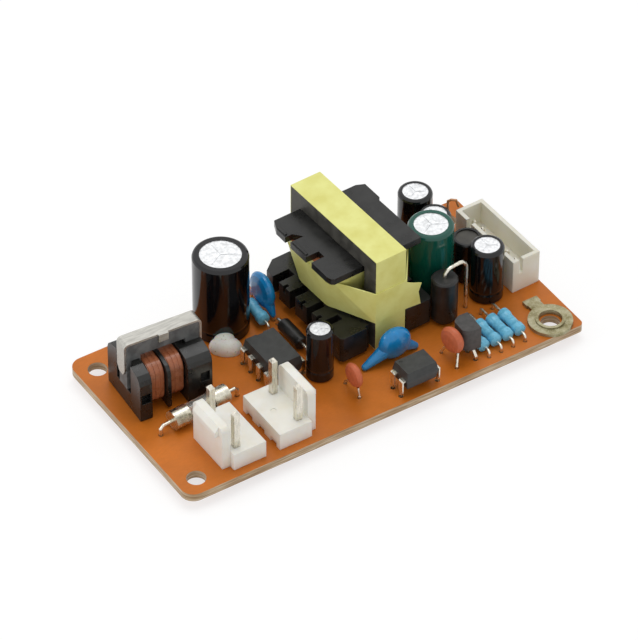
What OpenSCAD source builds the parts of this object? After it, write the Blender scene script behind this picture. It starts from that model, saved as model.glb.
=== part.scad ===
// Open-frame switching power supply on a single-sided board.
// Frame: origin at the centre of the footprint, at the tips of the soldered leads; +X runs along
// the long edge to the output side, +Y to the rear edge, +Z up. Millimetres.
// Places are measured from the board's front left corner, heights from the board's top face.

/* [Board] */
// Length along X
board_l = 82; // [82:0.5:90]
// Width along Y
board_w = 40.4; // [40.4:0.2:46]
// Laminate thickness
board_t = 1.6; // [1:0.1:2]
// Corner radius at the mains end
board_corner = 2.4; // [1:0.1:3]
// Corner radius at the output end
board_corner_out = 1.0; // [0.5:0.1:3]
// Mounting hole diameter
hole_d = 3.5; // [3:0.1:3.6]
// First mounting hole, from the corner
hole_at = [3.7, 3.6]; // [3:0.1:5]
// Distance between the mounting holes
hole_pitch = [73.5, 32.6]; // [30:0.1:75]
// How far the soldered leads stand out below the board
lead_stub = 1.8; // [1.2:0.1:2.5]

/* [Mains headers] */
// First header, corner of its base
header_1_at = [10.1, 1.65]; // [0:0.05:30]
// Second header, corner of its base
header_2_at = [19.4, 1.65]; // [0:0.05:30]
// Header base: X, Y, Z
header_base = [6.5, 11.86, 3.5]; // [3:0.1:12]
// Lock wall: thickness, length, height
header_wall = [1.6, 9.4, 9.0]; // [1:0.1:10]
// Pin to pin
header_pitch = 7.92; // [7.92:0.01:7.92]
// Square pin width
header_pin_w = 1.14; // [1:0.01:1.2]
// Pin height above the board
header_pin_h = 11.2; // [9:0.1:12]

/* [Fuse] */
// Centre of the tube on the board
fuse_at = [12.4, 16.65]; // [5:0.05:20]
// Turn about Z
fuse_turn = 4.9; // [0:0.1:8]
// Body length and diameter
fuse_size = [11.6, 3.6]; // [3:0.1:12]

/* [Line choke] */
// Centre on the board
choke_at = [10.4, 26.15]; // [8:0.05:14]
// Turn about Z
choke_turn = -4; // [-5:0.5:0]
// Core ring: length, height, thickness
choke_ring = [14.2, 9.75, 2.8]; // [2:0.05:15]
// Side of the core's limb
choke_limb = 2.75; // [2.5:0.05:3]
// Height of the lower limb's underside
choke_ring_z = 3.87; // [3.5:0.01:4]
// Flange: width along Y and height
choke_flange = [12.2, 10.2]; // [8:0.1:13]
// Winding section: along Y, along Z
choke_coil = [9.0, 8.6]; // [6:0.1:9.4]
// Winding width along the limb
choke_coil_w = 2.75; // [2:0.05:2.8]

/* [Bulk capacitor] */
// Centre on the board
bulk_at = [27.77, 33.94]; // [20:0.01:35]
// Diameter and height
bulk_size = [10.1, 17.0]; // [5:0.1:18]
// Centre of the blob of glue
glue_at = [25.2, 28.4]; // [20:0.1:26]

/* [Control chip] */
// Centre on the board
chip_at = [29.6, 19.95]; // [20:0.01:40]
// Body: across the rows, along the rows, thickness
chip_body_size = [6.35, 9.3, 3.3]; // [3:0.01:10]
// Height of the body's middle
chip_z = 3.2; // [2:0.1:3.5]
// Lead pitch
dip_pitch = 2.54; // [2.54:0.01:2.54]
// Row spacing
dip_rows = 7.62; // [7.62:0.01:7.62]

/* [Optocoupler] */
// Centre on the board
opto_at = [48.2, 3.1]; // [40:0.05:56]
// Body: across the rows, along the rows, thickness
opto_body_size = [6.5, 4.6, 3.5]; // [3:0.01:7]
// Height of the body's middle
opto_z = 3.5; // [2:0.1:3.6]

/* [Transformer] */
// Centre on the board
trafo_at = [49.77, 27.1]; // [45:0.01:55]
// Turn about Z
trafo_turn = 2.67; // [0:0.01:3]
// Core: thickness, length, height
trafo_core = [6.35, 25.4, 19.9]; // [5:0.05:26]
// Core centre leg and outer leg widths
trafo_legs = [6.35, 3.4]; // [3:0.05:7]
// Yoke thickness
trafo_yoke = 3.2; // [3:0.1:3.4]
// Winding half widths along X and Y under the top flange
trafo_coil = [8.7, 8.6]; // [7:0.1:8.7]
// Winding half widths along X and Y on the pin rails
trafo_coil_low = [7.25, 6.4]; // [6:0.1:8]
// Height of the pin rails
trafo_rail_z = 6.0; // [5:0.1:6.2]

/* [Small capacitors] */
// Supply capacitor: place, diameter, height
supply_can = [35.58, 14.1, 4.9, 10.8]; // [4:0.01:80]
// Green output capacitor: place, diameter, height
green_can = [63.75, 21.8, 8.3, 16.0]; // [4:0.01:80]
// Front output capacitor: place, diameter, height
front_can = [71.85, 15.95, 6.15, 11.6]; // [4:0.01:80]
// Middle output capacitor: place, diameter, height
middle_can = [68.8, 28.05, 6.0, 11.5]; // [4:0.01:80]
// Rear output capacitor: place, diameter, height
rear_can = [69.05, 34.6, 6.3, 11.95]; // [4:0.01:80]
// Sleeve thickness
sleeve_t = 0.12; // [0.1:0.01:0.2]

/* [Small parts] */
// Starting resistor: centre of its body
start_at = [34.15, 32.3]; // [20:0.05:60]
// Clamp disc: centre on the board
clamp_disc_at = [36.4, 34.0]; // [20:0.05:60]
// Clamp diode: centre of its body
clamp_diode_at = [36.5, 24.3]; // [20:0.05:60]
// Safety capacitor: centre on the board
safety_at = [48.1, 10.85]; // [40:0.05:60]
// Small disc: centre on the board
small_disc_at = [38.1, 7.1]; // [30:0.05:60]
// Feedback disc: centre on the board
feedback_at = [57.2, 5.0]; // [50:0.05:60]
// Regulator: centre on the board
regulator_at = [60.6, 5.2]; // [50:0.05:70]
// First of the four resistors: its front lead
resistor_at = [63.0, 1.9]; // [60:0.05:70]
// Step between the resistors
resistor_pitch = 2.55; // [2.45:0.01:2.6]
// Resistor body: length, diameter
resistor_size = [6.2, 2.4]; // [1.5:0.1:6.5]
// Output diode: centre of its standing body
diode_at = [61.94, 14.6]; // [55:0.01:70]
// Output diode: diameter, height, height of its foot above the board
diode_size = [4.85, 9.2, 0.5]; // [0.4:0.1:10]
// Foot of the output diode's upper lead
diode_foot = [66.9, 15.1]; // [60:0.1:70]
// Drum choke: centre on the board
drum_at = [71.8, 22.1]; // [60:0.1:76]
// Drum choke: diameter, height
drum_size = [5.3, 9.0]; // [4:0.1:10]
// Loose wire end: its foot on the board
hook_at = [73.4, 30.6]; // [72:0.05:74]
// Loose wire end: height and reach of the hook
hook_size = [11.0, 1.3]; // [1:0.1:11]

/* [Output header] */
// Front left corner
output_at = [75.98, 13.6]; // [70:0.01:78]
// Turn about Z
output_turn = 1.5; // [0:0.1:1.6]
// Box: X, Y, Z
output_box = [5.75, 17.45, 7.0]; // [5:0.01:18]
// Wall thickness
output_wall = 0.75; // [0.6:0.05:0.9]
// Pin pitch
output_pitch = 2.5; // [2.5:0.01:2.5]
// Number of pins
output_count = 6; // [2:1:6]

/* [Earth lug] */
// Ring: outer diameter, hole diameter, thickness
lug_size = [8.06, 4.25, 0.7]; // [0.5:0.05:9]
// Tail: width, reach from the hole's centre
lug_tail = [3.0, 6.5]; // [2:0.1:7]

/* [Fits] */
// Clearance of a lead in its board hole, on the radius
hole_gap = 0.1; // [0.05:0.01:0.2]
// Clearance between seated pieces
seat_gap = 0.02; // [0.01:0.01:0.05]

/* [Hidden] */
$fn = 48;
lead_r = 0.3;
thick_r = 0.35;
thin_r = 0.25;
choke_pin_r = 0.32;
choke_pin_at = [5.8, 4.6];
core_cut = 0.35;
fuse_reach = 8.2;
clamp_reach = 3.55;
safety_reach = 5.25;
drum_reach = 1.25;
out_pin_at = [2.3, 2.45];
out_pin_w = 0.64;
tip_rise = 0.15;
foot_z = -board_t - lead_stub;
tip_z = foot_z + tip_rise;
lug_at = [hole_at.x + hole_pitch.x, hole_at.y];
overhang = max(0, lug_size[0] / 2 - lug_at.y);
origin = [board_l / 2, (board_w - overhang) / 2];
cans = [supply_can, green_can, front_can, middle_can, rear_can];
header_pin_at = [1.6, (header_base.y - header_pitch) / 2];
trafo_row = 8.2;
trafo_pin_pitch = 5;
axial_pitch = 10.2;
start_turn = -3;
start_reach = 4.2;

// ---------- helpers ----------

// Children drawn from the board's front left corner, z = 0 on the board's top face
module on_board() {
  translate([-origin.x, -origin.y, lead_stub + board_t])
    children();
}

// Children at a place on the board, turned about Z
module at(p, turn = 0) {
  translate([p.x, p.y, 0])
    rotate(turn)
      children();
}

// Points given in a part's own frame, moved to the board
function placed(p, turn, pts) = [for (q = pts)
  [p.x + q.x * cos(turn) - q.y * sin(turn), p.y + q.x * sin(turn) + q.y * cos(turn)]];

// Give each point a lead radius
function with_r(pts, r) = [for (q = pts) [q.x, q.y, r]];

// Rounded rectangle centred on the origin
module round_rect(w, l, r) {
  translate([r - w / 2, r - l / 2])
    offset(r = r)
      square([w - 2 * r, l - 2 * r]);
}

// Straight round wire between two points
module wire(a, b, r) {
  d = b - a;
  n = norm(d);
  translate(a)
    rotate([0, acos(d.z / n), atan2(d.y, d.x)])
      cylinder(r = r, h = n, $fn = 20);
}

// Wire through a list of points with round elbows
module wire_path(pts, r) {
  for (i = [0:len(pts) - 2])
    wire(pts[i], pts[i + 1], r);
  for (i = [1:len(pts) - 2])
    translate(pts[i])
      sphere(r = r * 1.04, $fn = 20);
}

// Round lead from its tip under the board up to a height
module lead(p, top, r = lead_r) {
  translate([p.x, p.y, tip_z])
    cylinder(r = r, h = top - tip_z, $fn = 20);
}

// Lead that leaves a body lying along Y and bends down into the board: a straight pin, a
// quarter bend and a straight run to the body's end
module lying_lead(foot, middle, half, z, r) {
  bend = r * 2.2;
  side = sign(foot.y - middle);
  reach = abs(foot.y - middle);
  translate([foot.x, middle, 0])
    scale([1, side, 1]) {
      translate([0, reach, tip_z])
        cylinder(r = r, h = z - bend - tip_z, $fn = 24);
      translate([0, reach - bend, z - bend])
        rotate([0, -90, 0])
          rotate_extrude(angle = 90, $fn = 24)
            translate([bend, 0])
              circle(r = r, $fn = 24);
      translate([0, half, z])
        rotate([-90, 0, 0])
          cylinder(r = r, h = reach - bend - half, $fn = 24);
    }
}

// ---------- where every lead enters the board ----------

function can_pts(c) = [[c[0] - can_gap(c[2]) / 2, c[1]], [c[0] + can_gap(c[2]) / 2, c[1]]];
function can_gap(d) = d > 9 ? 5 : d > 7 ? 3.5 : d > 5.5 ? 2.5 : 2;
function header_pts(p, mirrored) = [for (k = [0, 1])
  [p.x + (mirrored ? header_base.x - header_pin_at.x : header_pin_at.x),
   p.y + header_pin_at.y + k * header_pitch]];
function dip_pts(p, n) = [for (s = [-1, 1], k = [0:n - 1])
  [p.x + s * dip_rows / 2, p.y + (k - (n - 1) / 2) * dip_pitch]];
fuse_pts = placed(fuse_at, fuse_turn, [[-fuse_reach, 0], [fuse_reach, 0]]);
choke_pts = placed(choke_at, choke_turn,
  [for (s = [-1, 1], t = [-1, 1]) [s * choke_pin_at.x, t * choke_pin_at.y]]);
bulk_pts = can_pts([bulk_at.x, bulk_at.y, bulk_size[0]]);
trafo_pts = placed(trafo_at, trafo_turn,
  [for (s = [-1, 1], k = [-2:2]) [s * trafo_row, k * trafo_pin_pitch]]);
safety_pts = [for (s = [-1, 1]) [safety_at.x + s * safety_reach, safety_at.y]];
small_disc_pts = [for (s = [-1, 1]) [small_disc_at.x, small_disc_at.y + 0.5 + s * 2.25]];
feedback_pts = [for (s = [-1, 1]) [feedback_at.x - 0.6, feedback_at.y + s * 2.4]];
clamp_disc_pts = [for (s = [-1, 1]) [clamp_disc_at.x, clamp_disc_at.y + s * clamp_reach]];
start_pts = placed(start_at, start_turn, [for (s = [-1, 1]) [0, s * start_reach]]);
clamp_diode_pts = [for (s = [-1, 1]) [clamp_diode_at.x, clamp_diode_at.y + s * 4.9]];
regulator_pts = [for (k = [-1:1]) [regulator_at.x, regulator_at.y + k * dip_pitch]];
resistor_pts = [for (k = [0:3], s = [0, 1])
  [resistor_at.x + k * resistor_pitch, resistor_at.y + s * axial_pitch]];
diode_pts = [diode_at, diode_foot];
drum_pts = [for (s = [-1, 1]) [drum_at.x, drum_at.y + s * drum_reach]];
output_pts = placed(output_at, output_turn,
  [for (k = [0:output_count - 1]) [out_pin_at.x, out_pin_at.y + k * output_pitch]]);

round_leads = concat(
  with_r(concat(fuse_pts, bulk_pts, safety_pts, diode_pts), thick_r),
  with_r(choke_pts, choke_pin_r),
  with_r(trafo_pts, thick_r),
  with_r(concat(small_disc_pts, feedback_pts, clamp_disc_pts, resistor_pts, start_pts), thin_r),
  with_r(concat(clamp_diode_pts, drum_pts), lead_r),
  with_r([for (c = cans, q = can_pts(c)) q], thin_r));
square_leads = concat(
  with_r(concat(header_pts(header_1_at, false), header_pts(header_2_at, true)), header_pin_w / 2),
  with_r(concat(dip_pts(chip_at, 4), dip_pts(opto_at, 2), regulator_pts), 0.25),
  with_r(output_pts, out_pin_w / 2));

// ---------- board and earth ----------

module board() {
  color("#c76a12")
    on_board()
      translate([0, 0, -board_t])
        difference() {
          linear_extrude(board_t)
            board_outline();
          for (i = [0, 1], j = [0, 1])
            translate([hole_at.x + i * hole_pitch.x, hole_at.y + j * hole_pitch.y, -1])
              cylinder(d = hole_d, h = board_t + 2);
          for (q = round_leads)
            translate([q.x, q.y, -1])
              cylinder(r = q[2] + hole_gap, h = board_t + 2, $fn = 20);
          for (q = square_leads)
            translate([q.x, q.y, -1])
              cylinder(r = q[2] * sqrt(2) + hole_gap, h = board_t + 2, $fn = 20);
        }
}

// The corners are rounder at the mains end than at the output end
module board_outline() {
  hull()
    for (y = [0, 1]) {
      translate([board_corner, y * board_w + (1 - 2 * y) * board_corner])
        circle(r = board_corner);
      translate([board_l - board_corner_out, y * board_w + (1 - 2 * y) * board_corner_out])
        circle(r = board_corner_out);
    }
}

// A concave fillet of solder round one lead, under the board
module solder_fillet(rise, bore) {
  collar = bore + 0.12;
  pad = bore + 0.6;
  rotate_extrude($fn = 28)
    polygon([[bore, 0], [pad, 0], [(bore + pad) / 2 - 0.03, -rise * 0.35], [collar, -rise],
      [bore, -rise]]);
}

module solder_joints() {
  rise = 1.1;
  color("#b9bcc0")
    on_board()
      translate([0, 0, -board_t]) {
        for (q = round_leads)
          translate([q.x, q.y, 0])
            solder_fillet(rise, q[2] + seat_gap);
        for (q = square_leads)
          translate([q.x, q.y, 0])
            solder_fillet(rise, q[2] * sqrt(2) + seat_gap);
      }
}

// Ring tongue: ring with a raised rim, waisted neck and a tail folded down to the board
module earth_lug() {
  neck = [lug_tail[0] * 0.86, lug_tail[1]];
  color("#9a9878")
    on_board()
      at(lug_at)
        difference() {
          union() {
            linear_extrude(lug_size[2])
              union() {
                circle(d = lug_size[0]);
                translate([-neck.x / 2, 0])
                  square(neck);
                translate([-lug_tail[0] / 2, lug_tail[1] - 1.4])
                  square([lug_tail[0], 1.4]);
              }
            cylinder(d = lug_size[1] + 1.1, h = lug_size[2] + 0.3);
          }
          translate([0, 0, -1])
            cylinder(d = lug_size[1], h = 4);
        }
}

// ---------- mains headers ----------

// Housing: base with scalloped edge, pin holes, lock wall with a hook on its outer face
module header_housing() {
  wall_y = (header_base.y - header_wall[1]) / 2;
  hook = 0.75;
  difference() {
    union() {
      cube(header_base);
      translate([-header_wall[0] + 0.05, 0, 0])
        rotate([90, 0, 90])
          linear_extrude(header_wall[0])
            wall_outline(wall_y, wall_y + header_wall[1], header_wall[2], 1.1);
      translate([-header_wall[0] + 0.05, wall_y + header_wall[1] - 1.1, 0])
        rotate([90, 0, 0])
          linear_extrude(header_wall[1] - 2.2)
            polygon([[0, header_wall[2]], [-hook, header_wall[2] - 1.1],
              [-hook, header_wall[2] - 2.1], [0, header_wall[2] - 2.1]]);
    }
    for (k = [0, 1])
      translate([header_pin_at.x, header_pin_at.y + k * header_pitch, header_base.z / 2])
        cube([header_pin_w + 2 * seat_gap, header_pin_w + 2 * seat_gap, 9], center = true);
    for (y = [1.1, 5.0, 8.9])
      translate([header_base.x - 0.4, y, -0.1])
        cube([1, 1.9, 1.1]);
    translate([header_base.x * 0.62, header_base.y * 0.5, header_base.z - 0.15])
      cylinder(r = 0.5, h = 1);
  }
}

// Upright outline with rounded top corners
module wall_outline(y0, y1, top, r) {
  hull() {
    translate([y0, 0])
      square([y1 - y0, 1]);
    for (y = [y0 + r, y1 - r])
      translate([y, top - r])
        circle(r = r, $fn = 32);
  }
}

// Square pins with chamfered tips
module header_pair_pins() {
  for (k = [0, 1])
    translate([header_pin_at.x, header_pin_at.y + k * header_pitch, 0])
      square_pin(header_pin_w, foot_z, header_pin_h);
}

module square_pin(w, low, high) {
  c = w * 0.28;
  intersection() {
    translate([-w / 2, w / 2, 0])
      rotate([90, 0, 0])
        linear_extrude(w)
          pin_outline(w, low, high, c);
    translate([-w / 2, -w / 2, 0])
      rotate([90, 0, 90])
        linear_extrude(w)
          pin_outline(w, low, high, c);
  }
}

module pin_outline(w, low, high, c) {
  polygon([[c, low], [w - c, low], [w, low + c * 1.5], [w, high - c * 1.5],
    [w - c, high], [c, high], [0, high - c * 1.5], [0, low + c * 1.5]]);
}

// The second header faces the other way
module second_header() {
  translate([header_2_at.x + header_base.x, header_2_at.y, 0])
    mirror([1, 0, 0])
      children();
}

module header_1() {
  color("#f3f1e6")
    on_board()
      translate([header_1_at.x, header_1_at.y, 0])
        header_housing();
}

module header_1_pins() {
  color("#c9c8bd")
    on_board()
      translate([header_1_at.x, header_1_at.y, 0])
        header_pair_pins();
}

module header_2() {
  color("#f3f1e6")
    on_board()
      second_header()
        header_housing();
}

module header_2_pins() {
  color("#c9c8bd")
    on_board()
      second_header()
        header_pair_pins();
}

// ---------- fuse ----------

fuse_z = 1.9;
fuse_cap_l = 3.2;

module along_x(z) {
  translate([0, 0, z])
    rotate([0, 90, 0])
      children();
}

module fuse_tube() {
  color("#d9d6bd", 0.8)
    on_board()
      at(fuse_at, fuse_turn)
        along_x(fuse_z)
          difference() {
            cylinder(d = fuse_size[1] - 0.3, h = fuse_size[0] - 0.8, center = true);
            cylinder(d = fuse_size[1] - 1.5, h = fuse_size[0], center = true);
          }
}

module fuse_caps() {
  color("#b7b4a4")
    on_board()
      at(fuse_at, fuse_turn)
        for (s = [-1, 1])
          scale([s, 1, 1])
            along_x(fuse_z)
              translate([0, 0, fuse_size[0] / 2 - fuse_cap_l])
                difference() {
                  cylinder(d = fuse_size[1], h = fuse_cap_l);
                  translate([0, 0, -1])
                    cylinder(d = fuse_size[1] - 0.3 + 2 * seat_gap, h = fuse_cap_l + 0.6);
                }
}

module fuse_leads() {
  color("#c2c0b4")
    on_board()
      at(fuse_at, fuse_turn)
        for (s = [-1, 1])
          wire_path([[s * fuse_reach, 0, tip_z], [s * fuse_reach, 0, fuse_z - 0.6],
            [s * (fuse_reach - 0.6), 0, fuse_z],
            [s * fuse_size[0] / 2, 0, fuse_z]], thick_r);
}

// ---------- line choke ----------

choke_top = choke_ring_z + choke_ring[1];
limb_mid = choke_ring_z + choke_limb / 2;
coil_1_x = -4.2;
coil_2_x = -0.45;

// Half of the rectangular ring, standing in the XZ plane
module choke_half(side) {
  l = choke_ring[0] / 2;
  t = choke_ring[2];
  translate([0, t / 2, choke_ring_z])
    rotate([90, 0, 0])
      linear_extrude(t)
        scale([side, 1])
          difference() {
            polygon([[0.03, 0], [l, 0], [l, choke_ring[1] - core_cut],
              [l - core_cut, choke_ring[1]], [0.03, choke_ring[1]]]);
            translate([-1, choke_limb])
              square([l + 1 - choke_limb, choke_ring[1] - 2 * choke_limb]);
          }
}

module choke_core_left() {
  color("#3b3b3c")
    on_board()
      at(choke_at, choke_turn)
        choke_half(-1);
}

module choke_core_right() {
  color("#3b3b3c")
    on_board()
      at(choke_at, choke_turn)
        choke_half(1);
}

// Flange outline in the YZ plane with rounded top shoulders
module choke_flange_outline(w, h, low) {
  cy = 3.3;
  y = w / 2;
  polygon([[-y, low], [y, low], [y, h - 2.2], [y - 0.3, h - 1.25], [y - 1.05, h - 0.5],
    [y - cy, h], [-y + cy, h], [-y + 1.05, h - 0.5], [-y + 0.3, h - 1.25], [-y, h - 2.2]]);
}

module choke_flange_plate(x0, x1, w, h, low) {
  translate([x0, 0, 0])
    rotate([90, 0, 90])
      linear_extrude(x1 - x0)
        choke_flange_outline(w, h, low);
}

module choke_bobbin() {
  half = choke_ring[0] / 2;
  slab = 1.9;
  gap = 0.06;
  color("#232322")
    on_board()
      at(choke_at, choke_turn)
        difference() {
          union() {
            choke_flange_plate(-half + 0.1, -4.65, choke_flange[0], choke_flange[1], 0.1);
            choke_flange_plate(-1.3, -0.6, choke_flange[0] - 1.2, choke_flange[1] - 0.4, 0.5);
            choke_flange_plate(2.5, half + 0.1, choke_flange[0] - 0.6, choke_flange[1] - 0.2, 0.1);
            translate([-4.7, -2.3, limb_mid - 2.3])
              cube([7.3, 4.6, 4.6]);
          }
          // passage of the core's lower limb
          translate([-half - 1, -choke_ring[2] / 2 - gap, choke_ring_z - gap])
            cube([choke_ring[0] + 2, choke_ring[2] + 2 * gap, choke_limb + 2 * gap]);
          // slots of the core's end limbs
          for (s = [-1, 1])
            translate([s * (half - choke_limb / 2) - choke_limb / 2 - gap,
              -choke_ring[2] / 2 - gap, choke_ring_z - gap])
              cube([choke_limb + 2 * gap + (s > 0 ? 1 : 0), choke_ring[2] + 2 * gap, 20]);
          // room for the core's upper limb
          translate([-half - 1, -choke_ring[2] / 2 - gap, choke_top - choke_limb - gap])
            cube([choke_ring[0] + 2, choke_ring[2] + 2 * gap, 10]);
          // open pockets that part the end slabs from the limb, and the clip's legs in them
          for (s = [-1, 1])
            translate([-half - 1, s * 1.95 - 0.65, choke_ring_z - gap])
              cube([slab, 1.3, 20]);
          translate([-half - 1, -1.6, choke_ring_z - gap])
            cube([1.15, 3.2, 20]);
          // shallow panels and recesses over the pins, in the outer ends
          for (t = [-1, 1])
            translate([half - 0.15, t * 3.9 - 1.3, 1.0])
              cube([1, 2.6, 4.6]);
          for (s = [-1, 1], t = [-1, 1])
            translate([s * choke_pin_at.x - 0.9, t * 5.7 - 0.7, choke_flange[1] - 6.4])
              cube([1.8, 1.4, 2.1]);
          for (s = [-1, 1], t = [-1, 1])
            translate([s * choke_pin_at.x, t * choke_pin_at.y, -1])
              cylinder(r = choke_pin_r + seat_gap, h = 5, $fn = 20);
        }
}

// Winding: a rounded block wound on the lower limb, with the wire's grooves at its face
module choke_winding(x0) {
  ribs = 3;
  pitch = choke_coil_w / ribs;
  at(choke_at, choke_turn)
    translate([x0, 0, limb_mid])
      rotate([90, 0, 90])
        difference() {
          union() {
            linear_extrude(choke_coil_w)
              round_rect(choke_coil.x - 0.16, choke_coil.y - 0.16, 2.3);
            for (k = [0:ribs - 1])
              translate([0, 0, (k + 0.2) * pitch])
                linear_extrude(pitch * 0.6)
                  round_rect(choke_coil.x, choke_coil.y, 2.3);
          }
          translate([0, 0, -1])
            linear_extrude(choke_coil_w + 2)
              square(4.6 + 2 * seat_gap, center = true);
        }
}

module choke_winding_1() {
  color("#b0613c")
    on_board()
      choke_winding(coil_1_x);
}

module choke_winding_2() {
  color("#b0613c")
    on_board()
      choke_winding(coil_2_x);
}

// Spring strap over the ring: long top with rolled ends, two legs, a tab folded over the front
module choke_clip() {
  half = choke_ring[0] / 2 + seat_gap;
  t = 0.4;
  w = choke_ring[2];
  roll = 0.9;
  tab = [1.9, 1.15];
  color("#a9a8a3")
    on_board()
      at(choke_at, choke_turn)
        union() {
          translate([0, w / 2, 0])
            rotate([90, 0, 0])
              linear_extrude(w)
                difference() {
                  strap_outline(half + t, choke_top + seat_gap + t, roll);
                  strap_outline(half, choke_top + seat_gap, roll - t);
                  translate([-half - 5, -10])
                    square([2 * half + 10, choke_top + 8.5]);
                }
          for (s = [-1, 1])
            scale([s, 1, 1])
              translate([half, 0, 0])
                rotate([90, 0, 90])
                  linear_extrude(t)
                    polygon([[-w / 2, choke_top - 1.4], [-w / 2, 8.2], [-w / 4, 7.0], [w / 4, 7.0],
                      [w / 2, 8.2], [w / 2, choke_top - 1.4]]);
          translate([-tab.x / 2, -w / 2 - t, choke_top - tab.y])
            cube([tab.x, t - seat_gap, tab.y + seat_gap + t]);
          translate([-tab.x / 2, -w / 2 - 0.1, choke_top + seat_gap])
            cube([tab.x, 0.2, t]);
        }
}

// Side view of the strap's outer or inner face
module strap_outline(half, top, r) {
  translate([-half, -5])
    square([2 * half, top + 5 - r]);
  translate([-half + r, -5])
    square([2 * (half - r), top + 5]);
  for (s = [-1, 1])
    translate([s * (half - r), top - r])
      circle(r = r);
}

module choke_pins() {
  color("#c2c0b4")
    on_board()
      at(choke_at, choke_turn)
        for (s = [-1, 1], t = [-1, 1])
          translate([s * choke_pin_at.x, t * choke_pin_at.y, tip_z])
            cylinder(r = choke_pin_r, h = 3.9 - tip_z, $fn = 20);
}

// ---------- capacitors ----------

can_z = 0.25;
seal_h = 1.3;
shell_t = 0.45;

// Drawn aluminium can: domed shoulder, bead above the seal, scored vent on top
module can_shell(d, h) {
  r = d / 2 - sleeve_t - 0.01;
  inner = r - shell_t;
  difference() {
    rotate_extrude()
      polygon([[inner, can_z], [r - 0.15, can_z], [r, can_z + 0.2], [r, 1.9], [r - 0.3, 2.1],
        [r - 0.3, 2.35], [r, 2.55], [r, h - 0.5], [r - 0.15, h - 0.24], [r - 0.45, h - 0.14],
        [0, h - 0.14], [0, can_z + seal_h + seat_gap], [inner, can_z + seal_h + seat_gap]]);
    for (a = [90, 210, 330])
      rotate(a)
        translate([0, -0.09, h - 0.24])
          cube([r * 0.62, 0.18, 1]);
  }
}

// Shrunk plastic sleeve with its lip turned over the can's shoulder
module can_sleeve(d, h, open) {
  r = d / 2;
  in_r = r - sleeve_t;
  rotate_extrude()
    polygon([[in_r, can_z + 0.15], [r, can_z + 0.05], [r, 1.8], [r - 0.1, 2.2], [r, 2.7],
      [r, h - 0.55], [r - 0.16, h - 0.2], [r - 0.46, h], [open, h], [open, h - 0.12],
      [in_r - 0.34, h - 0.12], [in_r - 0.12, h - 0.24], [in_r, h - 0.48], [in_r, 2.8],
      [in_r, 2.2], [in_r, 1.8]]);
}

// Rubber bung with a bore for each lead
module can_seal(c) {
  r = c[2] / 2 - sleeve_t - 0.01 - shell_t - seat_gap;
  difference() {
    translate([c[0], c[1], can_z])
      cylinder(r = r, h = seal_h);
    for (q = can_pts(c))
      translate([q.x, q.y, -1])
        cylinder(r = (c[2] > 9 ? thick_r : thin_r) + seat_gap, h = 4, $fn = 20);
  }
}

bulk = [bulk_at.x, bulk_at.y, bulk_size[0], bulk_size[1]];

module can_at(c) {
  on_board()
    at(c)
      can_shell(c[2], c[3]);
}

module sleeve_at(c) {
  on_board()
    at(c)
      can_sleeve(c[2], c[3], c[2] * 0.37);
}

module bulk_can() {
  color("#b9bbbc")
    can_at(bulk);
}

module bulk_sleeve() {
  color("#1d1d1e")
    sleeve_at(bulk);
}

module bulk_seal() {
  color("#1a1a1a")
    on_board()
      can_seal(bulk);
}

module small_cans() {
  color("#b9bbbc")
    for (c = cans)
      can_at(c);
}

module supply_sleeve() {
  color("#17181c")
    sleeve_at(supply_can);
}

module green_sleeve() {
  color("#0f5f4c")
    sleeve_at(green_can);
}

module front_sleeve() {
  color("#17181c")
    sleeve_at(front_can);
}

module middle_sleeve() {
  color("#17181c")
    sleeve_at(middle_can);
}

module rear_sleeve() {
  color("#17181c")
    sleeve_at(rear_can);
}

module small_can_seals() {
  color("#1a1a1a")
    on_board()
      for (c = cans)
        can_seal(c);
}

module can_leads() {
  color("#c2c0b4")
    on_board() {
        for (q = bulk_pts)
          lead(q, can_z + seal_h, thick_r);
        for (c = cans, q = can_pts(c))
          lead(q, can_z + seal_h, thin_r);
      }
}

// Low blob of hot glue on the board, pressed against the bulk capacitor
module glue() {
  clear = bulk_size[0] / 2 + 0.05;
  color("#f2f0e2")
    on_board()
      difference() {
        intersection() {
          union() {
            translate([glue_at.x, glue_at.y, 0.5])
              rotate(-40)
                scale([1.45, 1, 1.05])
                  sphere(r = 2.05);
            translate([glue_at.x + 0.3, glue_at.y + 0.9, 1.2])
              sphere(r = 1.9);
          }
          translate([0, 0, 0.02])
            cube([60, 40, 20]);
        }
        translate([bulk_at.x, bulk_at.y, -1])
          cylinder(r = clear, h = 30);
      }
}

// ---------- moulded chips ----------

// Body with draft on every side
module dip_mould(size, z) {
  draft = 0.28;
  rise = size.z / 2;
  intersection() {
    translate([0, size.y / 2, z])
      rotate([90, 0, 0])
        linear_extrude(size.y)
          drafted(size.x, rise, draft);
    translate([-size.x / 2, 0, z])
      rotate([90, 0, 90])
        linear_extrude(size.x)
          drafted(size.y, rise, draft);
  }
}

module drafted(w, rise, draft) {
  band = 0.15;
  polygon([[-w / 2, -band], [-w / 2, band], [-w / 2 + draft, rise], [w / 2 - draft, rise],
    [w / 2, band], [w / 2, -band], [w / 2 - draft, -rise], [-w / 2 + draft, -rise]]);
}

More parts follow.
